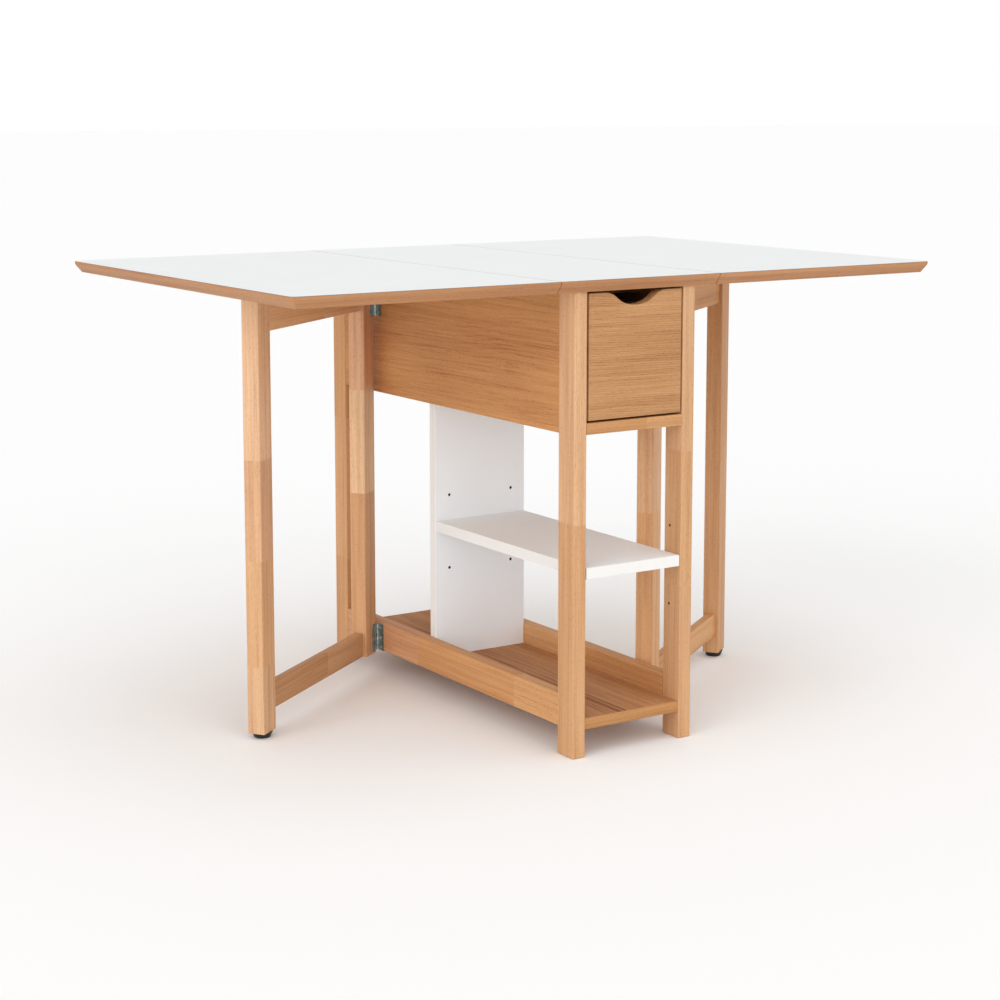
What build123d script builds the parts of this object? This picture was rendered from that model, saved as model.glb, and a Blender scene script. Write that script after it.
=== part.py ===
from build123d import *
import os

# Gateleg table in millimetres. +X runs along the open table, +Y to the back, +Z up.
# The origin is on the floor under the middle of the top. The body stands across the
# table; a gate swings out from each long side of it and carries one leaf.
# Every piece of the right-hand side is the left-hand piece turned half a turn about Z;
# each gate stands at its own angle.

# Top
table_length = 1210
table_depth = 796
table_height = 750
centre_width = 303
seam_gap = 1.2
board_thickness = 18
laminate_thickness = 0.7
corner_radius = 12
lip_height = 4.5
bevel_round = 5

# Body
body_width = 231
body_depth = 763
post_width = 23.5
post_depth = 43
side_recess = 1
apron_thickness = 18
apron_bottom = 510.5
case_bottom_thickness = 18
back_thickness = 18
back_recess = 2
cross_rail_width = 45
cross_rail_thickness = 18
cross_rail_y = 240
rail_bottom = 44.5
rail_height = 52
shelf_bottom = 43.5
shelf_thickness = 18
shelf_front_recess = 3
shelf_back_recess = 10
wood_easing = 2
board_easing = 0.8
post_end_chamfer = 1
cut_past = 5

# Divider and adjustable shelf
divider_front = 67
divider_thickness = 18
divider_gap = 0.5
loose_shelf_top = 301.5
loose_shelf_thickness = 18
loose_shelf_gap = 1.5
loose_shelf_front_recess = 1
loose_shelf_back_gap = 0.3
pin_radius = 2.5
pin_length = 16
pin_hole_depth = 9
pin_hole_step = 64
pin_inset = 28
pin_gap = 0.1
pin_fit = 0.05

# Drawer
drawer_gap = 3.5
drawer_front_thickness = 18
drawer_length = 440
drawer_side_gap = 4
drawer_side_thickness = 12
drawer_side_rise = 9.5
drawer_side_top_drop = 28
drawer_bottom_thickness = 4
drawer_bottom_rise = 8
drawer_groove_depth = 5
drawer_groove_fit = 0.3
scoop_width = 116
scoop_depth = 21
scoop_fullness = 0.66
runner_height = 12
runner_gap = 0.5
runner_groove_depth = 5.5
runner_overrun = 20

# Gates
left_gate_angle = 54
right_gate_angle = 55
gate_length = 438
gate_pivot_y = 225
gate_post_width = 42
gate_post_thickness = 29.5
gate_rail_thickness = 16
gate_bottom = 40
gate_bottom_rail_height = 43
gate_top_rail_height = 74.5
gate_top_gap = 0.8
foot_height = 9.5
foot_radius = 17.3
foot_base_radius = 13
foot_round = 3
foot_stem_radius = 4
foot_stem_length = 22
stop_length = 50
stop_width = 20
stop_height = 14
stop_gap = 0.4
stop_setback = 10

# Hinges: plates screwed on flat faces, with a pinned knuckle between them
knuckle_radius = 2.75
knuckle_count = 5
knuckle_gap = 0.4
knuckle_clear = 0.4
hinge_axis_gap = 0.15
plate_thickness = 1.5
plate_width = 17
pivot_pin_radius = 1.25
pivot_pin_fit = 0.05
gate_hinge_end_gap = 4
upper_hinge_drop = 38.3
leaf_hinge_height = 70
leaf_hinge_y = 300
hinge_screw_offset = 11.5
hinge_screw_inset = 6.5

# Fasteners
screw_head_radius = 2.6
screw_head_depth = 1.4
screw_radius = 1.4
screw_length = 14
screw_fit = 0.05
runner_screw_length = 24
top_screw_length = 30
dowel_radius = 4
dowel_length = 24
drawer_dowel_radius = 3
drawer_dowel_length = 20
dowel_fit = 0.05
apron_dowel_inset = 35
rail_dowel_inset = 13.5
panel_dowel_inset = 88.5
back_dowel_inset = 41.5
cross_dowel_inset = 42
top_screw_inset = 36.5
runner_screw_inset = 38.5
drawer_dowel_inset = 30
bottom_rail_dowel_inset = 12
top_rail_dowel_inset = 18

# Worked out from the sizes above
top_underside = table_height - laminate_thickness - board_thickness
half_length = table_length / 2
half_depth = table_depth / 2
half_centre = centre_width / 2
half_body = body_width / 2
half_body_depth = body_depth / 2
inner_x = half_body - post_width
post_y = half_body_depth - post_depth
side_x = half_body - side_recess
apron_x = side_x - apron_thickness
case_floor = apron_bottom + case_bottom_thickness
rail_top = rail_bottom + rail_height
shelf_top = shelf_bottom + shelf_thickness
bevel_height = board_thickness - lip_height
bevel_width = 0.96 * corner_radius
axis_offset = knuckle_radius + hinge_axis_gap
pivot = (-(side_x + axis_offset), gate_pivot_y)
leaf_axis_z = top_underside - axis_offset
gate_top = top_underside - gate_top_gap
drawer_face_x = inner_x - drawer_gap
drawer_side_x = inner_x - drawer_side_gap
drawer_inner_x = drawer_side_x - drawer_side_thickness
drawer_back_y = drawer_length - half_body_depth
drawer_side_y = drawer_front_thickness - half_body_depth
drawer_side_bottom = case_floor + drawer_gap + drawer_side_rise
drawer_side_top = top_underside - drawer_gap - drawer_side_top_drop
runner_z = (drawer_side_bottom + drawer_side_top) / 2
gate_hinge_height = rail_height - gate_hinge_end_gap
gate_hinge_bottoms = (rail_bottom, top_underside - upper_hinge_drop - gate_hinge_height)

nodes = {}


def spaced(start, end, inset, count):
    """Places spread evenly between two ends, the outer ones set in from them."""
    step = (end - start - 2 * inset) / (count - 1)
    return [start + inset + n * step for n in range(count)]


def add(name, *solids):
    """Puts solids in a named node, after any that it already holds."""
    nodes.setdefault(name, []).extend(solids)


def block(x0, x1, y0, y1, z0, z1):
    """A box between two corners."""
    low = (Align.MIN, Align.MIN, Align.MIN)
    return Pos(x0, y0, z0) * Box(x1 - x0, y1 - y0, z1 - z0, align=low)


def rod(radius, length, centre, axis):
    """A cylinder along a row axis, with its middle at a point."""
    turns = {"X": Rot(0, 90, 0), "Y": Rot(90, 0, 0), "Z": Rot(0, 0, 0)}
    return Pos(*centre) * turns[axis] * Cylinder(radius, length)


def eased(solid, radius, axis):
    """A solid with its edges along one axis rounded."""
    return fillet(solid.edges().filter_by(axis), radius)


def bored(solid, cutters):
    """A solid with every cutter taken out of it."""
    return (solid - list(cutters)).solid() if cutters else solid


def half_turn(shape):
    """The right-hand copy of a left-hand shape."""
    return Rot(0, 0, 180) * shape


def both_sides(shapes):
    """Left-hand shapes with their right-hand copies."""
    return list(shapes) + [half_turn(s) for s in shapes]


def dowels(places, radius, length, grow=0):
    """Dowels at (x, y, z, axis) places; grow gives the hole instead."""
    return [rod(radius + grow, length + 2 * grow, p[:3], p[3]) for p in places]


def screw(length, grow=0):
    """A countersunk screw along +X, its head's flat top at the origin."""
    head_radius = screw_head_radius + grow
    shank_radius = screw_radius + grow
    head = Cone(head_radius, shank_radius, screw_head_depth, align=(Align.CENTER, Align.CENTER, Align.MIN))
    shank = Cylinder(shank_radius, length + grow, align=(Align.CENTER, Align.CENTER, Align.MIN))
    return Rot(0, 90, 0) * (head + shank).solid()


# ---- dowels of the body: where they stand, on the left or on the middle plane ----

apron_mid_x = side_x - apron_thickness / 2
rail_mid_x = (side_x + inner_x) / 2
shelf_mid_z = shelf_bottom + shelf_thickness / 2
case_mid_z = apron_bottom + case_bottom_thickness / 2
cross_mid_z = top_underside - cross_rail_thickness / 2
back_mid_y = half_body_depth - back_recess - back_thickness / 2
divider_mid_y = divider_front + divider_thickness / 2
front_rail_mid_y = -(half_body_depth + post_y) / 2
apron_dowel_z = spaced(apron_bottom, top_underside, apron_dowel_inset, 3)
rail_dowel_z = spaced(rail_bottom, rail_top, rail_dowel_inset, 2)
side_dowel_y = spaced(-post_y, post_y, panel_dowel_inset, 3)
back_dowel_z = spaced(case_floor, top_underside, back_dowel_inset, 2)
cross_dowel_x = spaced(-inner_x, inner_x, cross_dowel_inset, 2)


def body_dowel_places():
    """Every dowel of the fixed body."""
    places = []
    for side in (-1, 1):
        for end in (-1, 1):
            places += [(side * apron_mid_x, end * post_y, z, "Y") for z in apron_dowel_z]
            places += [(side * rail_mid_x, end * post_y, z, "Y") for z in rail_dowel_z]
            places.append((side * apron_x, end * cross_rail_y, cross_mid_z, "X"))
        for y in side_dowel_y:
            places.append((side * inner_x, y, shelf_mid_z, "X"))
            places.append((side * apron_x, y, case_mid_z, "X"))
        places += [(side * inner_x, back_mid_y, z, "X") for z in back_dowel_z]
        places.append((side * inner_x, front_rail_mid_y, case_mid_z, "X"))
    for x in cross_dowel_x:
        places.append((x, -post_y, case_mid_z, "Y"))
        places.append((x, divider_mid_y, shelf_top, "Z"))
        places.append((x, divider_mid_y, apron_bottom, "Z"))
    return places


body_dowel_holes = dowels(body_dowel_places(), dowel_radius, dowel_length, dowel_fit)
add("body_dowels", *dowels(body_dowel_places(), dowel_radius, dowel_length))


# ---- hinges ----

def knuckle(z0, z1):
    """One knuckle of a hinge, bored for its pin."""
    place = (0, 0, (z0 + z1) / 2)
    bore = rod(pivot_pin_radius + pivot_pin_fit, z1 - z0 + 1, place, "Z")
    return rod(knuckle_radius, z1 - z0, place, "Z"), bore


def hinge_half(height, first, screw_heights):
    """Half a hinge, its axis on Z, its plate flat on the plane x = axis_offset, towards +Y.

    first is 0 for the half with the bottom knuckle, 1 for the other.
    """
    pitch = height / knuckle_count
    plate = block(axis_offset - plate_thickness, axis_offset, 0, plate_width, 0, height)
    reach = knuckle_radius + knuckle_clear
    half, bores = plate, []
    for n in range(knuckle_count):
        low = n * pitch + (knuckle_gap / 2 if n else 0)
        high = (n + 1) * pitch - (knuckle_gap / 2 if n < knuckle_count - 1 else 0)
        if n % 2 == first:
            tube, bore = knuckle(low, high)
            half += tube
            bores.append(bore)
        else:
            half -= block(-reach, reach, -reach, reach, low - knuckle_gap, high + knuckle_gap)
    holes = [Pos(axis_offset - plate_thickness, hinge_screw_offset, z) * screw(screw_length, screw_fit)
             for z in screw_heights]
    return bored(half, bores + holes)


def hinge_screws(screw_heights, grow=0):
    """The screws that hold half a hinge."""
    return [Pos(axis_offset - plate_thickness, hinge_screw_offset, z) * screw(screw_length, grow)
            for z in screw_heights]


gate_screw_heights = spaced(0, gate_hinge_height, hinge_screw_inset, 3)
leaf_screw_heights = spaced(0, leaf_hinge_height, 2 * hinge_screw_inset, 3)
turned = Rot(0, 0, 180)


def gate_hinge_frames():
    """The pivot at the foot of each hinge of the left-hand gate."""
    return [Pos(pivot[0], pivot[1], z) for z in gate_hinge_bottoms]


def leaf_hinge_frames():
    """The frame of each hinge of the left-hand seam: +X up, +Y out to the leaf, +Z to the front."""
    back_ends = [y + leaf_hinge_height / 2 for y in (-leaf_hinge_y, leaf_hinge_y)]
    return [Location(Plane(origin=(-half_centre, y, leaf_axis_z), x_dir=(0, 0, 1), z_dir=(0, -1, 0)))
            for y in back_ends]


def swung(shape, angle):
    """A shape of the shut left-hand gate, swung out to an angle."""
    centre = Pos(pivot[0], pivot[1], 0)
    return centre * Rot(0, 0, -angle) * Pos(-pivot[0], -pivot[1], 0) * shape


# ---- top: three boards with a sheet of laminate on each ----

def slab(x0, x1, z0, z1, rounded_side):
    """A slab across the table's depth, with round corners at x0 (-1) or at neither end (0)."""
    solid = block(x0, x1, -half_depth, half_depth, z0, z1)
    if rounded_side:
        corners = solid.edges().filter_by(Axis.Z).group_by(Axis.X)[0]
        solid = fillet(corners, corner_radius)
    return solid


def board(x0, x1, rounded_side):
    """A top board, bevelled underneath along its outer edges."""
    solid = slab(x0, x1, top_underside, table_height - laminate_thickness, rounded_side)
    low_edges = solid.edges().group_by(Axis.Z)[0]
    kept = [e for e in low_edges if not at_seam(e, x0, x1, rounded_side)]
    solid = chamfer(kept, bevel_width, bevel_height, reference=solid.faces().sort_by(Axis.Z)[0])
    shoulder = solid.edges().filter_by_position(Axis.Z, top_underside + bevel_height - 0.01,
                                                top_underside + bevel_height + 0.01)
    return fillet(shoulder, bevel_round)


def at_seam(edge, x0, x1, rounded_side):
    """Whether a bottom edge lies along a seam, where the board stays square."""
    x = edge.center().X
    along = edge.bounding_box().size.X < 0.01
    return along and (abs(x - x1) < 0.01 or (not rounded_side and abs(x - x0) < 0.01))


def top():
    """The centre board and the two leaves, with their laminate."""
    leaf_x0, leaf_x1 = -half_length, -half_centre - seam_gap / 2
    centre_x = half_centre - seam_gap / 2
    skin = (table_height - laminate_thickness, table_height)
    centre_holes = [f * mirror_y(h) for f in leaf_hinge_frames()
                    for h in hinge_screws(leaf_screw_heights, screw_fit)]
    centre = board(-centre_x, centre_x, 0)
    add("centre_top", bored(centre, both_sides(centre_holes) + top_screw_set(screw_fit)))
    add("centre_top_laminate", slab(-centre_x, centre_x, *skin, 0))
    leaf_holes = [f * h for f in leaf_hinge_frames() for h in hinge_screws(leaf_screw_heights, screw_fit)]
    leaf = bored(board(leaf_x0, leaf_x1, -1), leaf_holes)
    sheet = slab(leaf_x0, leaf_x1, *skin, -1)
    add("left_leaf", bored(leaf, stop_screws(left_gate_angle, screw_fit)))
    add("left_leaf_laminate", sheet)
    add("right_leaf", half_turn(bored(leaf, stop_screws(right_gate_angle, screw_fit))))
    add("right_leaf_laminate", half_turn(sheet))


def mirror_y(shape):
    """A hinge shape on the other side of the axis."""
    return mirror(shape, Plane.XZ)


def top_screw_set(grow=0):
    """The screws up through the cross rails into the centre board."""
    head_z = top_underside - cross_rail_thickness
    upright = Rot(0, -90, 0) * screw(top_screw_length, grow)
    return [Pos(x, y, head_z) * upright for x in spaced(-apron_x, apron_x, top_screw_inset, 2)
            for y in (-cross_rail_y, cross_rail_y)]


# ---- body: posts, aprons, panels and rails ----

def posts():
    """Four square-edged posts from the floor to the top."""
    names = {(-1, -1): "front_left_post", (1, -1): "front_right_post",
             (-1, 1): "back_left_post", (1, 1): "back_right_post"}
    for (side, end), name in names.items():
        x0, x1 = sorted((side * inner_x, side * half_body))
        y0, y1 = sorted((end * post_y, end * half_body_depth))
        post = eased(block(x0, x1, y0, y1, 0, top_underside), wood_easing, Axis.Z)
        post = chamfer(post.edges().group_by(Axis.Z)[0], post_end_chamfer)
        holes = body_dowel_holes + (pin_holes() if end < 0 else [])
        add(name, bored(post, holes))


def sides():
    """The deep aprons and the low rails along the body's two long sides."""
    apron = block(-side_x, -apron_x, -post_y, post_y, apron_bottom, top_underside)
    rail = block(-side_x, -inner_x, -post_y, post_y, rail_bottom, rail_top)
    rail = eased(rail, wood_easing, Axis.Y)
    screw_holes = gate_body_screws(screw_fit)
    for name, solid in (("side_apron", apron), ("side_rail", rail)):
        left = bored(solid, body_dowel_holes + screw_holes + runner_screws(screw_fit))
        add("left_" + name, left)
        add("right_" + name, bored(half_turn(solid), body_dowel_holes + [half_turn(h) for h in screw_holes]
                                   + mirrored_x(runner_screws(screw_fit))))


def mirrored_x(shapes):
    """Shapes on the other side of the drawer."""
    return [mirror(s, Plane.YZ) for s in shapes]


def panels():
    """The case bottom and its front rail, the back, the cross rails, the bottom shelf and the divider."""
    back_y = half_body_depth - back_recess
    case = block(-apron_x, apron_x, -post_y, post_y, apron_bottom, case_floor)
    case += block(-inner_x, inner_x, post_y, back_y, apron_bottom, case_floor)
    add("case_bottom", bored(case.solid(), body_dowel_holes))
    front_rail = block(-inner_x, inner_x, -half_body_depth, -post_y, apron_bottom, case_floor)
    add("case_front_rail", bored(eased(front_rail, board_easing, Axis.X), body_dowel_holes))
    back = block(-inner_x, inner_x, back_y - back_thickness, back_y, case_floor, top_underside)
    add("back_panel", bored(back, body_dowel_holes))
    for y in (-cross_rail_y, cross_rail_y):
        rail = block(-apron_x, apron_x, y - cross_rail_width / 2, y + cross_rail_width / 2,
                     top_underside - cross_rail_thickness, top_underside)
        add("top_cross_rails", bored(rail, body_dowel_holes + top_screw_set(screw_fit)))
    add("top_screws", *top_screw_set())
    shelf = block(-inner_x, inner_x, shelf_front_recess - half_body_depth,
                  half_body_depth - shelf_back_recess, shelf_bottom, shelf_top)
    add("bottom_shelf", bored(eased(shelf, board_easing, Axis.X), body_dowel_holes))
    divider_x = inner_x - divider_gap
    divider = block(-divider_x, divider_x, divider_front, divider_front + divider_thickness,
                    shelf_top, apron_bottom)
    add("divider", bored(eased(divider, board_easing, Axis.Z), body_dowel_holes + pin_holes()))


# ---- adjustable shelf and its pins ----

pin_z = loose_shelf_top - loose_shelf_thickness - pin_radius
pin_front_y = loose_shelf_front_recess - half_body_depth + pin_inset
pin_side_x = inner_x - loose_shelf_gap / 2 - pin_inset


def pins(z, length, radius, shift=0):
    """Rods at the four places of the shelf's pins, at one height."""
    made = [rod(radius, length, (side * (inner_x + shift), pin_front_y, z), "X") for side in (-1, 1)]
    made += [rod(radius, length, (side * pin_side_x, divider_front + shift, z), "Y") for side in (-1, 1)]
    return made


def pin_holes():
    """Three rows of blind holes, in the divider and in the two front posts."""
    rows = [pin_z + n * pin_hole_step for n in (-1, 0, 1)]
    return [h for z in rows for h in pins(z, 2 * pin_hole_depth, pin_radius + pin_fit)]


def loose_shelf():
    """The shelf that lies on four flat-topped pins between divider and front posts."""
    x = inner_x - loose_shelf_gap
    shelf = block(-x, x, loose_shelf_front_recess - half_body_depth, divider_front - loose_shelf_back_gap,
                  loose_shelf_top - loose_shelf_thickness, loose_shelf_top)
    add("adjustable_shelf", eased(shelf, board_easing, Axis.X))
    flat = pin_z + pin_radius - pin_gap
    above = block(-inner_x, inner_x, -half_body_depth, divider_front, flat, flat + pin_radius)
    add("shelf_pins", *[bored(p, [above]) for p in pins(pin_z, pin_length, pin_radius)])


# ---- drawer ----

def scoop():
    """The bell-shaped finger cut in the drawer front's top edge."""
    z = top_underside - drawer_gap
    y = -half_body_depth - cut_past
    end, quarter = scoop_width / 2, scoop_width / 4
    half_way = z - scoop_fullness * scoop_depth
    bell = Spline((-end, y, z), (-quarter, y, half_way), (0, y, z - scoop_depth), (quarter, y, half_way),
                  (end, y, z), tangents=[(1, 0, 0), (1, 0, 0)])
    lid = Polyline((end, y, z), (end, y, z + cut_past), (-end, y, z + cut_past), (-end, y, z))
    outline = make_face(bell.edges() + lid.edges())
    return extrude(outline, drawer_front_thickness + 2 * cut_past, dir=(0, 1, 0))


def drawer_dowel_places():
    """The dowels at the drawer's four corners."""
    mid_x = (drawer_side_x + drawer_inner_x) / 2
    heights = spaced(drawer_side_bottom, drawer_side_top, drawer_dowel_inset, 2)
    places = [(side * mid_x, drawer_side_y, z, "Y") for side in (-1, 1) for z in heights]
    back_y = drawer_back_y - drawer_side_thickness / 2
    return places + [(side * drawer_inner_x, back_y, z, "X") for side in (-1, 1) for z in heights]


def drawer():
    """The drawer: front, two grooved sides, back and bottom."""
    holes = dowels(drawer_dowel_places(), drawer_dowel_radius, drawer_dowel_length, dowel_fit)
    add("drawer_dowels", *dowels(drawer_dowel_places(), drawer_dowel_radius, drawer_dowel_length))
    floor = case_floor + drawer_gap
    bottom_z = drawer_side_bottom + drawer_bottom_rise
    bottom_x = drawer_inner_x + drawer_groove_depth
    bottom_y = drawer_side_y - drawer_groove_depth
    fit = drawer_groove_fit
    groove = block(-bottom_x - fit, bottom_x + fit, bottom_y - fit, drawer_back_y + cut_past,
                   bottom_z, bottom_z + drawer_bottom_thickness + fit)
    front = block(-drawer_face_x, drawer_face_x, -half_body_depth, drawer_side_y,
                  floor, top_underside - drawer_gap)
    front = bored(front, [scoop()])
    front = fillet(front.edges().group_by(Axis.Y)[0], board_easing)
    add("drawer_front", bored(front, [groove] + holes))
    for side, name in ((-1, "drawer_left_side"), (1, "drawer_right_side")):
        x0, x1 = sorted((side * drawer_side_x, side * drawer_inner_x))
        wall = block(x0, x1, drawer_side_y, drawer_back_y, drawer_side_bottom, drawer_side_top)
        cut_x = sorted((side * (drawer_side_x + cut_past), side * (drawer_side_x - runner_groove_depth)))
        half_slot = runner_height / 2 + runner_gap / 2
        slot = block(*cut_x, drawer_side_y - cut_past, drawer_back_y + cut_past,
                     runner_z - half_slot, runner_z + half_slot)
        add(name, bored(wall, [slot, groove] + holes))
    back = block(-drawer_inner_x, drawer_inner_x, drawer_back_y - drawer_side_thickness, drawer_back_y,
                 bottom_z + drawer_bottom_thickness + fit, drawer_side_top)
    add("drawer_back", bored(back, holes))
    add("drawer_bottom", block(-bottom_x, bottom_x, bottom_y, drawer_back_y,
                               bottom_z + fit / 2, bottom_z + fit / 2 + drawer_bottom_thickness))


runner_x = drawer_side_x - runner_groove_depth + runner_gap
runner_end_y = drawer_back_y + runner_overrun
runner_screw_y = spaced(-post_y, runner_end_y, runner_screw_inset, 3)


def runner_screws(grow=0):
    """The screws through the left-hand runner into the apron."""
    outward = Rot(0, 0, 180) * screw(runner_screw_length, grow)
    return [Pos(-runner_x, y, runner_z) * outward for y in runner_screw_y]


def runners():
    """The two hardwood strips that the drawer sides ride on."""
    strip = block(-apron_x, -runner_x, -post_y, runner_end_y,
                  runner_z - runner_height / 2, runner_z + runner_height / 2)
    strip = bored(strip, runner_screws(screw_fit))
    add("drawer_runners", strip, *mirrored_x([strip]))
    add("runner_screws", *runner_screws(), *mirrored_x(runner_screws()))


# ---- gates, built shut against the side and then swung open ----

face_x = pivot[0] - axis_offset
gate_mid_x = face_x - gate_post_thickness / 2
gate_end_y = gate_pivot_y - gate_length
inner_y = gate_pivot_y - gate_post_width
outer_y = gate_end_y + gate_post_width
bottom_rail_top = gate_bottom + gate_bottom_rail_height
top_rail_bottom = gate_top - gate_top_rail_height
gate_dowel_z = (spaced(gate_bottom, bottom_rail_top, bottom_rail_dowel_inset, 2)
                + spaced(top_rail_bottom, gate_top, top_rail_dowel_inset, 2))


def gate_screws(grow=0):
    """The screws of the gate's own hinge plates, in the shut gate."""
    return [f * turned * s for f in gate_hinge_frames() for s in hinge_screws(gate_screw_heights, grow)]


def gate_body_screws(grow=0):
    """The screws of the hinge plates on the left-hand side of the body."""
    return [f * mirror_y(s) for f in gate_hinge_frames() for s in hinge_screws(gate_screw_heights, grow)]


def foot():
    """A round moulded glide with a stem up into the leg."""
    low = (Align.CENTER, Align.CENTER, Align.MIN)
    disc = Cone(foot_base_radius, foot_radius, foot_height, align=low)
    disc = fillet(disc.edges().group_by(Axis.Z)[0], foot_round)
    stem = Cylinder(foot_stem_radius, foot_stem_length, align=low)
    middle = Pos(gate_mid_x, gate_end_y + gate_post_width / 2, 0)
    return middle * (disc + Pos(0, 0, foot_height) * stem).solid()


def gate():
    """One gate: inner post, outer leg, two rails, glide and hinge halves."""
    x0, x1 = face_x - gate_post_thickness, face_x
    r0, r1 = gate_mid_x - gate_rail_thickness / 2, gate_mid_x + gate_rail_thickness / 2
    places = [(gate_mid_x, y, z, "Y") for y in (inner_y, outer_y) for z in gate_dowel_z]
    holes = dowels(places, dowel_radius, dowel_length, dowel_fit)
    hole = rod(foot_stem_radius + dowel_fit, 2 * foot_stem_length,
               (gate_mid_x, gate_end_y + gate_post_width / 2, foot_height), "Z")
    inner = eased(block(x0, x1, inner_y, gate_pivot_y, gate_bottom, gate_top), wood_easing, Axis.Z)
    outer = eased(block(x0, x1, gate_end_y, outer_y, foot_height, gate_top), wood_easing, Axis.Z)
    low = block(r0, r1, outer_y, inner_y, gate_bottom, bottom_rail_top)
    high = block(r0, r1, outer_y, inner_y, top_rail_bottom, gate_top)
    pieces = {
        "gate_inner_post": [bored(inner, holes + gate_screws(screw_fit))],
        "gate_outer_leg": [bored(outer, holes + [hole])],
        "gate_bottom_rail": [bored(eased(low, wood_easing, Axis.Y), holes)],
        "gate_top_rail": [bored(eased(high, wood_easing, Axis.Y), holes)],
        "gate_foot": [foot()],
        "gate_dowels": dowels(places, dowel_radius, dowel_length),
        "gate_hinge_plates": [f * turned * hinge_half(gate_hinge_height, 1, gate_screw_heights)
                              for f in gate_hinge_frames()],
        "gate_hinge_screws": gate_screws(),
    }
    for name, solids in pieces.items():
        add("left_" + name, *[swung(s, left_gate_angle) for s in solids])
        add("right_" + name, *[half_turn(swung(s, right_gate_angle)) for s in solids])


def gate_hinge_fixed_parts():
    """The hinge halves, pins and screws that stay on the body."""
    halves = [f * mirror_y(hinge_half(gate_hinge_height, 0, gate_screw_heights)) for f in gate_hinge_frames()]
    pin = rod(pivot_pin_radius, gate_hinge_height, (0, 0, gate_hinge_height / 2), "Z")
    pivots = [f * pin for f in gate_hinge_frames()]
    add("body_hinge_plates", *both_sides(halves))
    add("gate_hinge_pins", *both_sides(pivots))
    add("body_hinge_screws", *both_sides(gate_body_screws()))


# ---- leaf hinges and stops ----

def leaf_hinges():
    """Two hinges under each seam."""
    frames = leaf_hinge_frames()
    fixed = [f * mirror_y(hinge_half(leaf_hinge_height, 0, leaf_screw_heights)) for f in frames]
    moving = [f * hinge_half(leaf_hinge_height, 1, leaf_screw_heights) for f in frames]
    pin = rod(pivot_pin_radius, leaf_hinge_height, (0, 0, leaf_hinge_height / 2), "Z")
    pivots = [f * pin for f in frames]
    inner = [f * mirror_y(s) for f in frames for s in hinge_screws(leaf_screw_heights)]
    outer = [f * s for f in frames for s in hinge_screws(leaf_screw_heights)]
    add("centre_hinge_plates", *both_sides(fixed))
    add("leaf_hinge_pins", *both_sides(pivots))
    add("centre_hinge_screws", *both_sides(inner))
    add("left_leaf_hinge_plates", *moving)
    add("right_leaf_hinge_plates", *[half_turn(s) for s in moving])
    add("left_leaf_screws", *outer, *stop_screws(left_gate_angle))
    add("right_leaf_screws", *[half_turn(s) for s in outer + stop_screws(right_gate_angle)])


stop_x = face_x - gate_post_thickness - stop_gap
stop_y = outer_y + stop_setback


def stop_screws(angle, grow=0):
    """The two screws up through the left-hand stop into the leaf, for a gate at an angle."""
    upright = Rot(0, -90, 0) * screw(top_screw_length - stop_height / 2, grow)
    middle = stop_y - stop_length / 2
    return [swung(Pos(stop_x - stop_width / 2, y, top_underside - stop_height) * upright, angle)
            for y in (middle - stop_length / 4, middle + stop_length / 4)]


def stops():
    """The blocks under the leaves that the gates' outer legs come to rest against."""
    stop = block(stop_x - stop_width, stop_x, stop_y - stop_length, stop_y,
                 top_underside - stop_height, top_underside)
    stop = eased(stop, wood_easing, Axis.Z)
    left, right = [bored(swung(stop, angle), stop_screws(angle, screw_fit))
                   for angle in (left_gate_angle, right_gate_angle)]
    add("left_leaf_stop", left)
    add("right_leaf_stop", half_turn(right))


top()
posts()
sides()
panels()
loose_shelf()
drawer()
runners()
gate()
gate_hinge_fixed_parts()
leaf_hinges()
stops()

os.makedirs("parts", exist_ok=True)
for name, solids in nodes.items():
    export_step(Compound(children=[Solid(s.solid().wrapped) for s in solids]), f"parts/{name}.step")
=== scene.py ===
import math

import bmesh
import bpy
import numpy as np
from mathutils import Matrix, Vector


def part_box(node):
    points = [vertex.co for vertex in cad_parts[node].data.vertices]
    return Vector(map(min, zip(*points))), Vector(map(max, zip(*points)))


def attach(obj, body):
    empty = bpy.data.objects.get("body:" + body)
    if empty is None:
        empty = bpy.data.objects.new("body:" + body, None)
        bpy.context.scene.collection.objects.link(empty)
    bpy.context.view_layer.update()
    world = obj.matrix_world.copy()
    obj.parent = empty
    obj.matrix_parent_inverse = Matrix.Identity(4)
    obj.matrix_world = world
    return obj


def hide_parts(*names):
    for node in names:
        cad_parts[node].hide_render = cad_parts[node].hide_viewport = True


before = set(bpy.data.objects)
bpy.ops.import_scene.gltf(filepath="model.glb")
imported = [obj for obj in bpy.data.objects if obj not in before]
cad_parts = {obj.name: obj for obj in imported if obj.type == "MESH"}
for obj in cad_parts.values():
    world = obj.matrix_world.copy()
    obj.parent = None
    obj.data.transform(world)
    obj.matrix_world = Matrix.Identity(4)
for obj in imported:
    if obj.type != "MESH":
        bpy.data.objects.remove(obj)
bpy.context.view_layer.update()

# ---- Studio ----
# The open table stands on a pale seamless floor in a white room. One large soft light shines
# from its front left, a second one overhead evens the top, and the room fills the shadows.

room_fill = 0.66
floor_half_width = 60.0
floor_drop = 0.0004


def linear(colour):
    """A hex sRGB colour as the linear red, green, blue and alpha that Blender works in."""
    channels = [int(colour[n:n + 2], 16) / 255 for n in (1, 3, 5)]
    return [c / 12.92 if c <= 0.04045 else ((c + 0.055) / 1.055) ** 2.4 for c in channels] + [1.0]


def add(tree, kind, inputs=None, **settings):
    """One node in a tree, with its settings, and its inputs as values or other nodes' sockets."""
    made = tree.nodes.new(kind)
    for name, value in settings.items():
        setattr(made, name, value)
    for key, value in (inputs or {}).items():
        if isinstance(value, bpy.types.NodeSocket):
            tree.links.new(value, made.inputs[key])
        else:
            made.inputs[key].default_value = value
    return made


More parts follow.
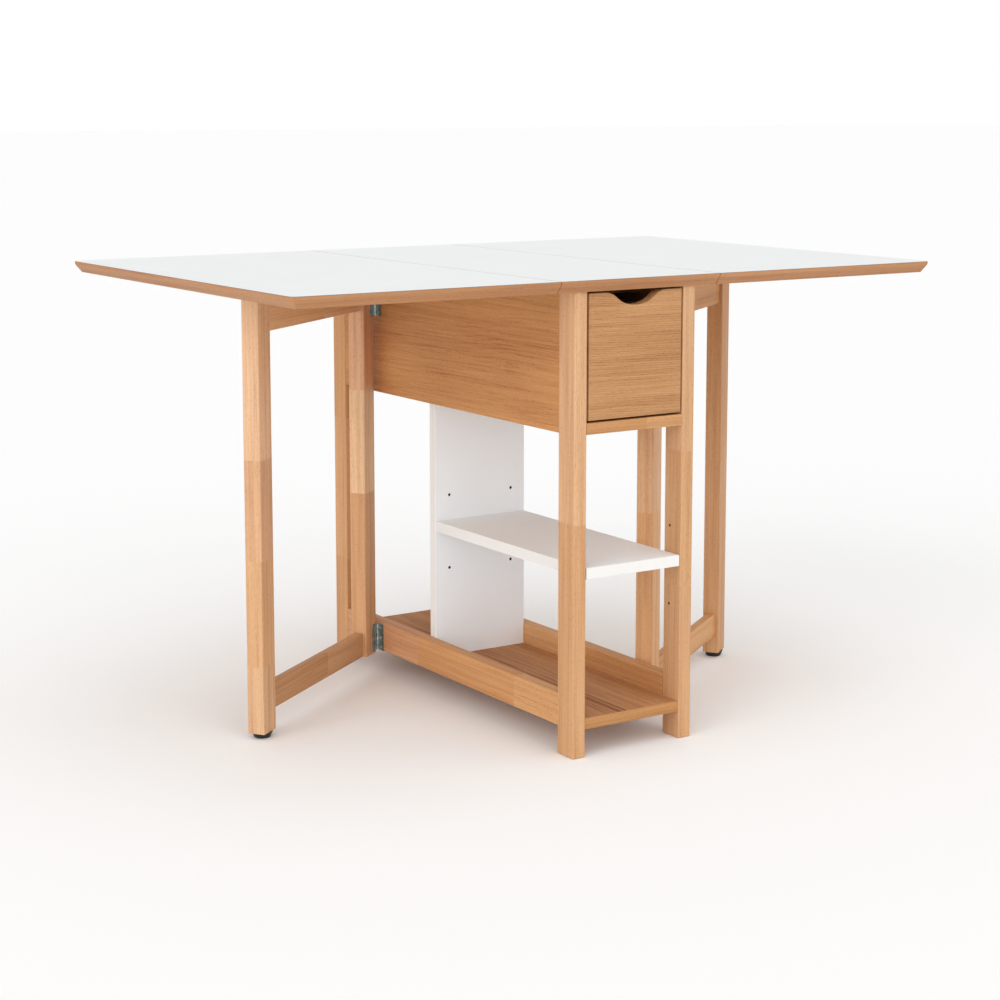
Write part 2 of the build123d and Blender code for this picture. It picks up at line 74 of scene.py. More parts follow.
def mesh_piece(name, points, faces):
    """A mesh object at the origin, with its place in its points."""
    mesh = bpy.data.meshes.new(name)
    mesh.from_pydata(points, [], faces)
    piece = bpy.data.objects.new(name, mesh)
    bpy.context.scene.collection.objects.link(piece)
    return piece


def soft_light(name, aim, spread, power):
    """A far-off soft box: an even light along a direction, spread over an angle in degrees."""
    lamp = bpy.data.lights.new(name, "SUN")
    lamp.energy = power
    lamp.angle = math.radians(spread)
    light = bpy.data.objects.new(name, lamp)
    light.rotation_euler = Vector(aim).to_track_quat("-Z", "Y").to_euler()
    bpy.context.scene.collection.objects.link(light)


scene = bpy.context.scene
scene.view_settings.view_transform = "Standard"

room = bpy.data.worlds.new("white_room")
room.use_nodes = True
room.node_tree.nodes.clear()
fill = add(room.node_tree, "ShaderNodeBackground", {"Color": (1, 1, 1, 1), "Strength": room_fill})
seen = add(room.node_tree, "ShaderNodeBackground", {"Color": (1, 1, 1, 1), "Strength": 1.0})
direct = add(room.node_tree, "ShaderNodeLightPath").outputs["Is Camera Ray"]
shown = add(room.node_tree, "ShaderNodeMixShader",
            {0: direct, 1: fill.outputs[0], 2: seen.outputs[0]})
add(room.node_tree, "ShaderNodeOutputWorld", {"Surface": shown.outputs[0]})
scene.world = room

soft_light("key_light", (0.80, 0.35, -0.30), 55, 1.18)
soft_light("front_light", (0.10, 0.90, -0.36), 45, 0.56)
soft_light("top_light", (-0.1, 0.3, -1.0), 60, 0.55)

lens = bpy.data.cameras.new("camera")
lens.sensor_width = 36
lens.lens = 77.19
lens.shift_y = -0.1
lens.clip_end = 200
camera = bpy.data.objects.new("camera", lens)
camera.location = (-1.97497, -3.03004, 1.02176)
camera.rotation_euler = (math.radians(90 - 8.008), 0, math.radians(-33.062))
scene.collection.objects.link(camera)
scene.camera = camera

corners = [(x * floor_half_width, y * floor_half_width, -floor_drop)
           for x, y in ((-1, -1), (1, -1), (1, 1), (-1, 1))]
floor = mesh_piece("floor", corners, [(0, 1, 2, 3)])
floor_paint = bpy.data.materials.new("seamless_paper")
floor_paint.use_nodes = True
paper = floor_paint.node_tree.nodes["Principled BSDF"].inputs
paper["Base Color"].default_value = linear("#fdfdfd")
paper["Roughness"].default_value = 0.9
floor.data.materials.append(floor_paint)


# ---- Posts ----
# Four square posts of rubberwood carry the body. Each is made of short blocks of differing
# tone, finger-jointed end to end, planed, eased along the arrises and lacquered to a satin.

finger_length = 5
finger_pitch = 4
pin_hole_skin = 1.0
upright = (0, math.radians(-90), 0)
across_table = (0, 0, math.radians(90))

honey = "#e0ab74"
tan = "#d59d66"
rosy = "#d8a277"


def in_millimetres(tree, middle, turn):
    """A space in millimetres round a middle point, turned about it."""
    place = add(tree, "ShaderNodeTexCoord").outputs["Object"]
    inputs = {"Vector": place, "Location": middle, "Rotation": turn, "Scale": (0.001, 0.001, 0.001)}
    return add(tree, "ShaderNodeMapping", inputs, vector_type="TEXTURE").outputs[0]


# each figure of the grain: its size along and across the grain in mm, and its fine detail
grain_sizes = {"streak": (560, 8, 2.0), "fibre": (110, 1.3, 3.0), "pore": (6, 0.5, 0.0),
               "cloud": (380, 60, 2.0), "bend": (520, 260, 1.0)}
# how much each darkens the wood, and between which levels of its noise
grain_tones = [("streak", 0.36, 0.72, 0.20), ("fibre", 0.40, 0.72, 0.20),
               ("pore", 0.62, 0.74, 0.26), ("cloud", 0.30, 0.75, 0.14)]
# how far, in mm, the pattern jumps from one block of wood to the next
block_jump = (977, 613, 389)


def wood(tree, grain, length, blocks, rings=None, knots=(), shade="#a0683a", gloss=0.08,
         shine=0.3):
    """Lacquered wood: streaks, fibres and pores drawn out along the grain, in jointed blocks.

    blocks are (start along the timber in mm, colour); rings are (pith across, pith below, slope of
    the pith to the face, ring width, strength, waviness), all but two in mm; knots are (along,
    across, size). Lacquer gives a soft sheen over a grain that the finger hardly feels.
    """
    split = add(tree, "ShaderNodeSeparateXYZ", {0: grain})

    # blocks: a comb of fingers on the broad faces, a straight line on the narrow ones
    zigzag = add(tree, "ShaderNodeMath", {0: split.outputs["Y"], 1: finger_pitch / 2},
                 operation="PINGPONG")
    joint = add(tree, "ShaderNodeMath", {0: zigzag.outputs[0], 1: 2 * finger_length / finger_pitch,
                                         2: split.outputs["X"]}, operation="MULTIPLY_ADD")
    along = add(tree, "ShaderNodeMapRange", {"Value": joint.outputs[0], "From Min": -length / 2,
                                             "From Max": length / 2})
    ramp = add(tree, "ShaderNodeValToRGB", {"Fac": along.outputs[0]})
    ramp.color_ramp.interpolation = "CONSTANT"
    ramp.color_ramp.elements.remove(ramp.color_ramp.elements[1])
    for n, (start, colour) in enumerate(blocks):
        stops = ramp.color_ramp.elements
        stop = stops[0] if n == 0 else stops.new(start / length)
        stop.color = linear(colour)[:3] + [(0.137 + 0.618 * n) % 1]  # alpha: the block's own jump
    moved = add(tree, "ShaderNodeVectorMath", {0: ramp.outputs["Alpha"], 1: block_jump, 2: grain},
                operation="MULTIPLY_ADD")

    # the figures of the grain, and how dark they make it together
    patterns = {}
    for pattern, (along_mm, across_mm, detail) in grain_sizes.items():
        scale = (1 / along_mm, 1 / across_mm, 1 / across_mm)
        drawn = add(tree, "ShaderNodeVectorMath", {0: moved.outputs[0], 1: scale},
                    operation="MULTIPLY")
        noise = {"Vector": drawn.outputs[0], "Scale": 1.0, "Detail": detail, "Roughness": 0.6}
        patterns[pattern] = add(tree, "ShaderNodeTexNoise", noise).outputs[0]
    darkness = None
    for pattern, low, high, strength in grain_tones:
        levels = {"Value": patterns[pattern], "From Min": low, "From Max": high, "To Max": strength}
        lifted = add(tree, "ShaderNodeMapRange", levels, interpolation_type="SMOOTHSTEP").outputs[0]
        if darkness is not None:
            lifted = add(tree, "ShaderNodeMath", {0: lifted, 1: darkness},
                         operation="ADD").outputs[0]
        darkness = lifted

    # growth rings as the saw cuts them, pale early wood rising to dark late wood, round knots
    if rings:
        pith_y, pith_z, slope, ring_width, ring_strength, wave = rings
        tilt = add(tree, "ShaderNodeMath", {0: split.outputs["X"], 1: slope, 2: -pith_y},
                   operation="MULTIPLY_ADD")
        wavy = add(tree, "ShaderNodeMath", {0: patterns["bend"], 1: wave, 2: tilt.outputs[0]},
                   operation="MULTIPLY_ADD")
        across = add(tree, "ShaderNodeMath", {0: split.outputs["Y"], 1: wavy.outputs[0]},
                     operation="ADD")
        offset = add(tree, "ShaderNodeCombineXYZ", {"Y": across.outputs[0], "Z": pith_z})
        radius = add(tree, "ShaderNodeVectorMath", {0: offset.outputs[0]}, operation="LENGTH")
        radius = radius.outputs["Value"]
        for knot_x, knot_y, knot_size in knots:
            apart = add(tree, "ShaderNodeVectorMath", {0: grain, 1: (knot_x, knot_y, 0)},
                        operation="SUBTRACT")
            oval = (0.4 / knot_size, 1 / knot_size, 0)
            flat = add(tree, "ShaderNodeVectorMath", {0: apart.outputs[0], 1: oval},
                       operation="MULTIPLY")
            reach = add(tree, "ShaderNodeVectorMath", {0: flat.outputs[0]}, operation="LENGTH")
            swell = add(tree, "ShaderNodeMapRange",
                        {"Value": reach.outputs["Value"], "From Min": 0.0, "From Max": 1.6,
                         "To Min": ring_width * 2.2, "To Max": 0.0},
                        interpolation_type="SMOOTHERSTEP")
            radius = add(tree, "ShaderNodeMath", {0: radius, 1: swell.outputs[0]},
                         operation="ADD").outputs[0]
        uneven = add(tree, "ShaderNodeMath",
                     {0: patterns["streak"], 1: ring_width * 1.8, 2: radius},
                     operation="MULTIPLY_ADD")
        turns = add(tree, "ShaderNodeMath", {0: uneven.outputs[0], 1: ring_width},
                    operation="DIVIDE")
        saw = add(tree, "ShaderNodeMath", {0: turns.outputs[0]}, operation="FRACT")
        late = add(tree, "ShaderNodeMath", {0: saw.outputs[0], 1: 2.5}, operation="POWER")
        broken = add(tree, "ShaderNodeMapRange", {"Value": patterns["cloud"], "From Min": 0.3,
                                                  "From Max": 0.65, "To Max": ring_strength})
        darkness = add(tree, "ShaderNodeMath",
                       {0: late.outputs[0], 1: broken.outputs[0], 2: darkness},
                       operation="MULTIPLY_ADD").outputs[0]

    toned = add(tree, "ShaderNodeMix", {0: 1.0, 6: ramp.outputs["Color"], 7: linear(shade)},
                data_type="RGBA", blend_type="MULTIPLY")
    colour = add(tree, "ShaderNodeMix",
                 {0: darkness, 6: ramp.outputs["Color"], 7: toned.outputs[2]}, data_type="RGBA")
    rough = add(tree, "ShaderNodeMapRange",
                {"Value": patterns["fibre"], "To Min": 0.5, "To Max": 0.66})
    relief = add(tree, "ShaderNodeMath", {0: patterns["fibre"], 1: patterns["pore"]},
                 operation="ADD")
    bump = add(tree, "ShaderNodeBump",
               {"Strength": 0.25, "Distance": 0.0002, "Height": relief.outputs[0]})
    return add(tree, "ShaderNodeBsdfPrincipled", {
        "Base Color": colour.outputs[2], "Roughness": rough.outputs[0], "Normal": bump.outputs[0],
        "Specular IOR Level": shine, "Coat Weight": gloss, "Coat Roughness": 0.3}).outputs[0]


def finish(name, shader_of):
    """A material whose surface is the shader that a function makes in its tree."""
    material = bpy.data.materials.new(name)
    material.use_nodes = True
    material.node_tree.nodes.clear()
    add(material.node_tree, "ShaderNodeOutputMaterial", {"Surface": shader_of(material.node_tree)})
    return material


def timber(name, centre, turn, length, blocks, **looks):
    """A material of one piece of wood, with its grain along the turned X axis."""
    return finish(name, lambda tree: wood(tree, in_millimetres(tree, centre, turn), length, blocks,
                                          **looks))


def depth_in(tree, node):
    """How far inside a CAD piece's box a point lies, in millimetres."""
    low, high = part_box(node)
    place = add(tree, "ShaderNodeTexCoord").outputs["Object"]
    apart = add(tree, "ShaderNodeVectorMath", {0: place, 1: (low + high) / 2},
                operation="SUBTRACT")
    spread = add(tree, "ShaderNodeVectorMath", {0: apart.outputs[0]}, operation="ABSOLUTE")
    inside = add(tree, "ShaderNodeVectorMath", {0: (high - low) / 2, 1: spread.outputs[0]},
                 operation="SUBTRACT")
    depth = add(tree, "ShaderNodeSeparateXYZ", {0: inside.outputs[0]})
    least = add(tree, "ShaderNodeMath", {0: depth.outputs[0], 1: depth.outputs[1]},
                operation="MINIMUM")
    least = add(tree, "ShaderNodeMath", {0: least.outputs[0], 1: depth.outputs[2]},
                operation="MINIMUM")
    return add(tree, "ShaderNodeMath", {0: least.outputs[0], 1: 1000},
               operation="MULTIPLY").outputs[0]


def bored_core_with_painted_shade(tree, node, skin, face, colour):
    """A face finish, with a core of a colour, raw wood darkened by painted shade, where a hole goes
    deeper than the skin in mm.
    """
    depth = add(tree, "ShaderNodeMath", {0: depth_in(tree, node), 1: skin},
                operation="GREATER_THAN")
    place = add(tree, "ShaderNodeTexCoord").outputs["Object"]
    chips = add(tree, "ShaderNodeTexNoise", {"Vector": place, "Scale": 700.0, "Detail": 2.0})
    # the dark core colour and the near-black chips mixed into it are painted shade in the hole as
    # well as raw core
    tone = add(tree, "ShaderNodeMix",
               {0: chips.outputs[0], 6: linear(colour), 7: linear("#2a1d12")}, data_type="RGBA")
    raw = add(tree, "ShaderNodeBsdfPrincipled", {"Base Color": tone.outputs[2], "Roughness": 0.9})
    return add(tree, "ShaderNodeMixShader",
               {0: depth.outputs[0], 1: face, 2: raw.outputs[0]}).outputs[0]


def dress(node, material):
    """Gives a CAD piece its finish."""
    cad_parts[node].material_slots[0].material = material


def middle(node):
    """The middle of a CAD piece."""
    low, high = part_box(node)
    return (low + high) / 2


def span(node, axis):
    """A CAD piece's extent along X, Y or Z in millimetres."""
    low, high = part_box(node)
    return 1000 * (high - low)["XYZ".index(axis)]


def bored_post(tree, node, blocks):
    """A post's rubberwood, raw inside its pin holes and darkened there with painted shade."""
    face = wood(tree, in_millimetres(tree, middle(node), upright), span(node, "Z"), blocks)
    # the dark core colour of the pin holes is partly raw wood, partly painted shade
    return bored_core_with_painted_shade(tree, node, pin_hole_skin, face, "#5e432b")


post_blocks = {
    "front_left_post": [(0, "#d9a97a"), (372, "#e0b286")],
    "front_right_post": [(0, "#d8a97c"), (250, "#d4a576"), (470, "#d9ac80")],
    "back_left_post": [(0, "#d8a370"), (190, "#dba775"), (450, "#d8a26d")],
    "back_right_post": [(0, honey), (380, tan), (560, rosy)],
}
for node, blocks in post_blocks.items():
    dress(node, finish("rubberwood_" + node, lambda tree: bored_post(tree, node, blocks)))


# ---- Side rails ----
# A low rubberwood rail joins the posts along each long side, doweled between them. The upper
# arris is eased and the bottom shelf butts against its inner face.

rail_blocks = {
    "left_side_rail": [(0, honey), (125, tan), (430, rosy)],
    "right_side_rail": [(0, tan), (260, honey), (520, tan)],
}
for node, blocks in rail_blocks.items():
    dress(node, timber("rubberwood_" + node, middle(node), across_table, span(node, "Y"), blocks))


# ---- Bottom shelf ----
# A veneered board with solid oak along its front, let in between the rails. The veneer's
# grain runs from front to back in long, slightly wavy lines.

shelf_lip = 1.5
shelf_lip_length = 400


def lipped_shelf(tree):
    """Veneer with its grain front to back, and a solid lip with its grain along the front."""
    shelf = "bottom_shelf"
    centre = middle(shelf)
    veneer = wood(tree, in_millimetres(tree, centre, across_table), span(shelf, "Y"),
                  [(0, "#c79363")], rings=(30, 12, 0.015, 6, 0.75, 30), gloss=0.0, shine=0.2)
    lip = wood(tree, in_millimetres(tree, centre, (0, 0, 0)), shelf_lip_length,
               [(0, "#c6925c")], gloss=0.0)
    place = add(tree, "ShaderNodeSeparateXYZ", {0: in_millimetres(tree, centre, (0, 0, 0))})
    front = add(tree, "ShaderNodeMath",
                {0: place.outputs["Y"], 1: shelf_lip - span(shelf, "Y") / 2},
                operation="LESS_THAN")
    return add(tree, "ShaderNodeMixShader", {0: front.outputs[0], 1: veneer, 2: lip}).outputs[0]


dress("bottom_shelf", finish("oak_veneer_shelf", lipped_shelf))


# ---- Divider and adjustable shelf ----
# White melamine-faced boards with a thin banding on every edge. The divider stands on the
# bottom shelf and is bored for pins; the loose shelf lies on four of them.

board_peel = 0.9
melamine_skin = 0.4


def faced_board(tree, colour, roughness, grit, relief):
    """Resin-faced board: even and faintly mottled, with the fine orange peel of its press plate.

    grit is the size of the peel's bumps in mm.
    """
    place = add(tree, "ShaderNodeTexCoord").outputs["Object"]
    mottle = add(tree, "ShaderNodeTexNoise", {"Vector": place, "Scale": 14.0, "Detail": 3.0})
    peel = add(tree, "ShaderNodeTexNoise", {"Vector": place, "Scale": 1000 / grit, "Detail": 2.0})
    tone = add(tree, "ShaderNodeValToRGB", {"Fac": mottle.outputs[0]})
    dark, light = tone.color_ramp.elements
    dark.position, light.position = 0.3, 0.7
    dark.color = [c * 0.98 for c in linear(colour)[:3]] + [1]
    light.color = linear(colour)
    rough = add(tree, "ShaderNodeMapRange", {"Value": peel.outputs[0], "To Min": roughness - 0.05,
                                             "To Max": roughness + 0.08})
    bump = add(tree, "ShaderNodeBump",
               {"Strength": relief, "Distance": 0.0001, "Height": peel.outputs[0]})
    return add(tree, "ShaderNodeBsdfPrincipled",
               {"Base Color": tone.outputs[0], "Roughness": rough.outputs[0],
                "Normal": bump.outputs[0]}).outputs[0]


def faces_and_edges(tree, thin, sheet, edge):
    """One shader on the faces across a board's thin axis, another round its edges."""
    normal = add(tree, "ShaderNodeNewGeometry").outputs["True Normal"]
    square = add(tree, "ShaderNodeVectorMath", {0: normal, 1: thin}, operation="DOT_PRODUCT")
    square = add(tree, "ShaderNodeMath", {0: square.outputs["Value"]}, operation="ABSOLUTE")
    on_face = add(tree, "ShaderNodeMath", {0: square.outputs[0], 1: 0.7}, operation="GREATER_THAN")
    return add(tree, "ShaderNodeMixShader", {0: on_face.outputs[0], 1: edge, 2: sheet}).outputs[0]


def white_board(tree, node, thin):
    """Melamine faces, a duller band round the edges, chipboard darkened with painted shade in the
    drilled holes.
    """
    sheet = faced_board(tree, "#f6fbff", 0.45, board_peel, 0.12)
    band = faced_board(tree, "#eceae7", 0.55, board_peel, 0.12)
    faces = faces_and_edges(tree, thin, sheet, band)
    # the dark core colour of the drilled holes is partly chipboard, partly painted shade
    return bored_core_with_painted_shade(tree, node, melamine_skin, faces, "#4d3926")


for node, thin in (("divider", (0, 1, 0)), ("adjustable_shelf", (0, 0, 1))):
    dress(node, finish("white_melamine_" + node, lambda tree: white_board(tree, node, thin)))


def metal(name, colour, roughness, grit):
    """Zinc-plated steel: bright, slightly blue, clouded by the passivation and finely scratched."""
    material = bpy.data.materials.new(name)
    material.use_nodes = True
    tree = material.node_tree
    shader = tree.nodes["Principled BSDF"]
    shader.inputs["Metallic"].default_value = 1.0
    place = add(tree, "ShaderNodeTexCoord").outputs["Object"]
    cloud = add(tree, "ShaderNodeTexNoise", {"Vector": place, "Scale": 160.0, "Detail": 3.0})
    scratch = add(tree, "ShaderNodeTexNoise",
                  {"Vector": place, "Scale": 1000 / grit, "Detail": 1.0})
    tone = add(tree, "ShaderNodeValToRGB", {"Fac": cloud.outputs[0]})
    dull, bright = tone.color_ramp.elements
    dull.position, bright.position = 0.35, 0.65
    dull.color = [c * 0.5 for c in linear(colour)[:3]] + [1]
    bright.color = linear(colour)
    rough = add(tree, "ShaderNodeMapRange", {"Value": cloud.outputs[0], "To Min": roughness - 0.08,
                                             "To Max": roughness + 0.12})
    bump = add(tree, "ShaderNodeBump",
               {"Strength": 0.2, "Distance": 0.00005, "Height": scratch.outputs[0]})
    tree.links.new(tone.outputs[0], shader.inputs["Base Color"])
    tree.links.new(rough.outputs[0], shader.inputs["Roughness"])
    tree.links.new(bump.outputs[0], shader.inputs["Normal"])
    return material


zinc = metal("bright_zinc_plate", "#c9d4d2", 0.3, 0.35)
dress("shelf_pins", zinc)


# ---- Case: aprons, bottom, back and cross rails ----
# Oak-veneered aprons run along both sides between the posts, with a veneered bottom and back
# between them. Two rubberwood cross rails take the screws that hold the top.

oak = "#cf9c66"
apron_oak = "#d29963"
apron_knots = [(-198, -15, 13), (-244, -17, 10), (-35, -15, 9)]
veneered = {"gloss": 0.0, "shine": 0.15}
side_on = (math.radians(90), 0, math.radians(90))
facing_front = (math.radians(90), 0, 0)
along_table = (0, 0, 0)
cross_rail_blocks_length = 240

# each veneered board: its name, turn, the axis its grain runs along, colour, rings and knots
veneered_boards = {
    "left_side_apron": ("left_apron", side_on, "Y", apron_oak, (150, 24, 0.045, 8, 0.20, 90),
                        apron_knots),
    "right_side_apron": ("right_apron", side_on, "Y", apron_oak, (-130, 24, -0.035, 8, 0.20, 80),
                         ()),
    "case_bottom": ("case_bottom", across_table, "Y", oak, (60, 20, 0.02, 7, 0.3, 40), ()),
    "back_panel": ("back", facing_front, "X", oak, (150, 20, 0.03, 6, 0.26, 60), ()),
}
for node, (name, turn, along, colour, rings, knots) in veneered_boards.items():
    dress(node, timber("oak_veneer_" + name, middle(node), turn, span(node, along), [(0, colour)],
                       rings=rings, knots=knots, **veneered))

dress("case_front_rail", timber("rubberwood_front_rail", middle("case_front_rail"), along_table,
                                span("case_front_rail", "X"), [(0, "#cd9863"), (118, "#d29f6b")]))
dress("top_cross_rails", timber("rubberwood_cross_rails", middle("top_cross_rails"), along_table,
                                cross_rail_blocks_length, [(0, honey), (110, tan)]))


# ---- Drawer ----
# The front is veneered board with the grain across and a bell-shaped finger cut. The box
# behind it is birch plywood, grooved for its bottom and for two hardwood runners.

bare = {"gloss": 0.0, "shine": 0.25}
hidden_length = 900
dress("drawer_front", timber("oak_veneer_drawer_front", middle("drawer_front"), facing_front,
                             span("drawer_front", "X"), [(0, "#c99a6b")],
                             rings=(170, 16, 0.05, 3.8, 0.34, 45), **veneered))
ply = timber("birch_plywood", (0, 0, 0.62), across_table, hidden_length, [(0, "#dcb98c")], **bare)
for node in ("drawer_left_side", "drawer_right_side", "drawer_back", "drawer_bottom",
             "left_leaf_stop", "right_leaf_stop"):
    dress(node, ply)
beech = timber("beech_dowel", (0, 0, 0.4), across_table, hidden_length, [(0, "#d9ab7c")], **bare)
for node in ("drawer_dowels", "drawer_runners", "body_dowels", "left_gate_dowels",
             "right_gate_dowels"):
    dress(node, beech)


# ---- Gates ----
# Each gate is a frame of two rubberwood posts and two rails, doweled together, that swings on
# two hinges to hold up one leaf. It stands open at an angle to the body.

gate_angles = {"left": 54, "right": 55}
gate_rail_length = 354
gate_blocks = {
    "left_gate_outer_leg": [(0, "#dfb48a"), (112, "#dcae80"), (282, "#dfb086"), (447, "#eec49c")],
    "left_gate_inner_post": [(0, "#d9a779"), (295, "#eac297"), (478, "#e6b68e")],
    # the left gate's top rail is painted paler than the other rails: painted light that lifts the
    # shade the leaf casts on it
    "left_gate_top_rail": [(0, "#f2c698"), (210, "#f5cca2")],
    "left_gate_bottom_rail": [(0, "#c9986a"), (210, "#cfa074")],
    "right_gate_outer_leg": [(0, "#d8a778"), (360, "#d4a273")],
    "right_gate_inner_post": [(0, "#e4b27f"), (303, "#e3b68a")],
    "right_gate_top_rail": [(0, honey), (160, tan)],
    "right_gate_bottom_rail": [(0, tan), (120, honey)],
}
for node, blocks in gate_blocks.items():
    angle = gate_angles[node.split("_")[0]]
    if node.endswith("rail"):
        turn, length = (0, 0, math.radians(90 - angle)), gate_rail_length
    else:
        turn, length = (0, math.radians(-90), math.radians(-angle)), span(node, "Z")
    dress(node, timber("rubberwood_" + node, middle(node), turn, length, blocks))


# ---- Glides ----
# A black moulded plastic glide is pressed into the foot of each gate's outer leg. Its skin
# has the fine even grain of a spark-eroded mould.

def moulded(name, colour, grit):
    """Moulded plastic: dark, half matt, with a fine grain."""
    material = bpy.data.materials.new(name)
    material.use_nodes = True
    tree = material.node_tree
    shader = tree.nodes["Principled BSDF"]
    place = add(tree, "ShaderNodeTexCoord").outputs["Object"]
    grain = add(tree, "ShaderNodeTexNoise", {"Vector": place, "Scale": 1000 / grit, "Detail": 2.0})
    tone = add(tree, "ShaderNodeValToRGB", {"Fac": grain.outputs[0]})
    tone.color_ramp.elements[0].color = linear(colour)
    tone.color_ramp.elements[1].color = [c * 1.8 for c in linear(colour)[:3]] + [1]
    rough = add(tree, "ShaderNodeMapRange",
                {"Value": grain.outputs[0], "To Min": 0.38, "To Max": 0.6})
    bump = add(tree, "ShaderNodeBump",
               {"Strength": 0.4, "Distance": 0.0001, "Height": grain.outputs[0]})
    tree.links.new(tone.outputs[0], shader.inputs["Base Color"])
    tree.links.new(rough.outputs[0], shader.inputs["Roughness"])
    tree.links.new(bump.outputs[0], shader.inputs["Normal"])
    return material


black = moulded("black_plastic", "#141414", 0.5)
dress("left_gate_foot", black)
dress("right_gate_foot", black)


# ---- Hinges ----
# Zinc-plated steel butt hinges with five knuckles on a pin: two at each gate, two under each
# seam of the top. Their plates are screwed flat onto the wood.

for node in ("body_hinge_plates", "left_gate_hinge_plates", "right_gate_hinge_plates",
             "gate_hinge_pins", "centre_hinge_plates", "left_leaf_hinge_plates",
             "right_leaf_hinge_plates", "leaf_hinge_pins"):
    dress(node, zinc)
screw_head = 0.0026
screw_shank = 0.0014
screw_point = 0.0002
head_depth = 0.0014
tip_depth = 0.004
longest_screw = 0.030
head_sides = 32
shank_sides = 24
recess_bars = ((0.0031, 0.0006, 0.0018), (0.0006, 0.0031, 0.0018))


def screw_group():
    """Geometry nodes that set a cross-recessed countersunk screw at each point.

    The point's "facing" is the way its head looks, and its "length" is the screw's own.
    """
    tree = bpy.data.node_groups.new("countersunk_screws", "GeometryNodeTree")
    sockets = [("Geometry", "INPUT", "Geometry"), ("Longest", "INPUT", "Float"),
               ("Seed", "INPUT", "Int"), ("Material", "INPUT", "Material"),
               ("Geometry", "OUTPUT", "Geometry")]
    for name, way, kind in sockets:
        tree.interface.new_socket(name, in_out=way, socket_type="NodeSocket" + kind)
    given = add(tree, "NodeGroupInput").outputs

    # the head, with a driver's cross cut in it
    cone = add(tree, "GeometryNodeMeshCone", {"Vertices": head_sides, "Radius Top": screw_head,
                                              "Radius Bottom": screw_shank, "Depth": head_depth})
    head = add(tree, "GeometryNodeTransform", {"Geometry": cone.outputs["Mesh"],
                                               "Translation": (0, 0, -head_depth)})
    cross = add(tree, "GeometryNodeJoinGeometry")
    for size in recess_bars:
        bar = add(tree, "GeometryNodeMeshCube", {"Size": size})
        tree.links.new(bar.outputs["Mesh"], cross.inputs[0])
    driven = add(tree, "GeometryNodeMeshBoolean",
                 {"Mesh 1": head.outputs[0], "Mesh 2": cross.outputs[0]}, operation="DIFFERENCE")

    # the longest shank, with its point
    straight = longest_screw - head_depth - tip_depth
    rod = add(tree, "GeometryNodeMeshCylinder",
              {"Vertices": shank_sides, "Radius": screw_shank, "Depth": straight})
    rod = add(tree, "GeometryNodeTransform", {"Geometry": rod.outputs["Mesh"],
                                              "Translation": (0, 0, -head_depth - straight / 2)})
    tip = add(tree, "GeometryNodeMeshCone", {"Vertices": shank_sides, "Radius Top": screw_shank,
                                             "Radius Bottom": screw_point, "Depth": tip_depth})
    tip = add(tree, "GeometryNodeTransform", {"Geometry": tip.outputs["Mesh"],
                                              "Translation": (0, 0, -longest_screw)})
    shank = add(tree, "GeometryNodeJoinGeometry")
    for piece in (rod, tip):
        tree.links.new(piece.outputs[0], shank.inputs[0])

    # each screw stands along its facing, driven home to a chance angle
    facing = add(tree, "GeometryNodeInputNamedAttribute", {"Name": "facing"},
                 data_type="FLOAT_VECTOR")
    aimed = add(tree, "FunctionNodeAlignRotationToVector", {"Vector": facing.outputs[0]}, axis="Z")
    chance = add(tree, "FunctionNodeRandomValue", {"Seed": given["Seed"]}, data_type="FLOAT")
    angle = add(tree, "ShaderNodeMath", {0: chance.outputs["Value"], 1: math.pi / 2},
                operation="MULTIPLY")
    twist = add(tree, "FunctionNodeAxisAngleToRotation",
                {"Axis": (0, 0, 1), "Angle": angle.outputs[0]})
    placed = add(tree, "FunctionNodeRotateRotation",
                 {"Rotation": aimed.outputs[0], "Rotate By": twist.outputs[0]},
                 rotation_space="LOCAL")
    length = add(tree, "GeometryNodeInputNamedAttribute", {"Name": "length"}, data_type="FLOAT")
    share = add(tree, "ShaderNodeMath", {0: length.outputs[0], 1: given["Longest"]},
                operation="DIVIDE")
    shortened = add(tree, "ShaderNodeCombineXYZ", {"X": 1.0, "Y": 1.0, "Z": share.outputs[0]})
    heads = add(tree, "GeometryNodeInstanceOnPoints",
                {"Points": given["Geometry"], "Instance": driven.outputs[0],
                 "Rotation": placed.outputs[0]})
    shanks = add(tree, "GeometryNodeInstanceOnPoints",
                 {"Points": given["Geometry"], "Instance": shank.outputs[0],
                  "Rotation": placed.outputs[0], "Scale": shortened.outputs[0]})
    whole = add(tree, "GeometryNodeJoinGeometry")
    for piece in (heads, shanks):
        tree.links.new(piece.outputs[0], whole.inputs[0])
    solid = add(tree, "GeometryNodeRealizeInstances", {"Geometry": whole.outputs[0]})
    plated = add(tree, "GeometryNodeSetMaterial",
                 {"Geometry": solid.outputs[0], "Material": given["Material"]})
    add(tree, "NodeGroupOutput", {"Geometry": plated.outputs[0]})
    return tree


def screw_places(node):
    """For each CAD screw, the middle of its head, the way the head faces, and its length."""
    cad = bmesh.new()
    cad.from_mesh(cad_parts[node].data)
    bmesh.ops.remove_doubles(cad, verts=cad.verts, dist=1e-6)
    places, left = [], set(cad.verts)
    while left:
        found = [left.pop()]
        for vertex in found:
            near = {e.other_vert(vertex) for e in vertex.link_edges} & left
            left -= near
            found.extend(near)
        points = np.array([v.co[:] for v in found])
        centre = points.mean(axis=0)
        axis = np.linalg.svd(points - centre)[2][0]
        along = (points - centre) @ axis
        radius = np.linalg.norm(points - centre - along[:, None] * axis, axis=1)
        head = along[radius.argmax()]
        places.append((centre + head * axis, np.sign(head) * axis, along.max() - along.min()))
    cad.free()
    return sorted(places, key=lambda place: tuple(place[0].round(5)))


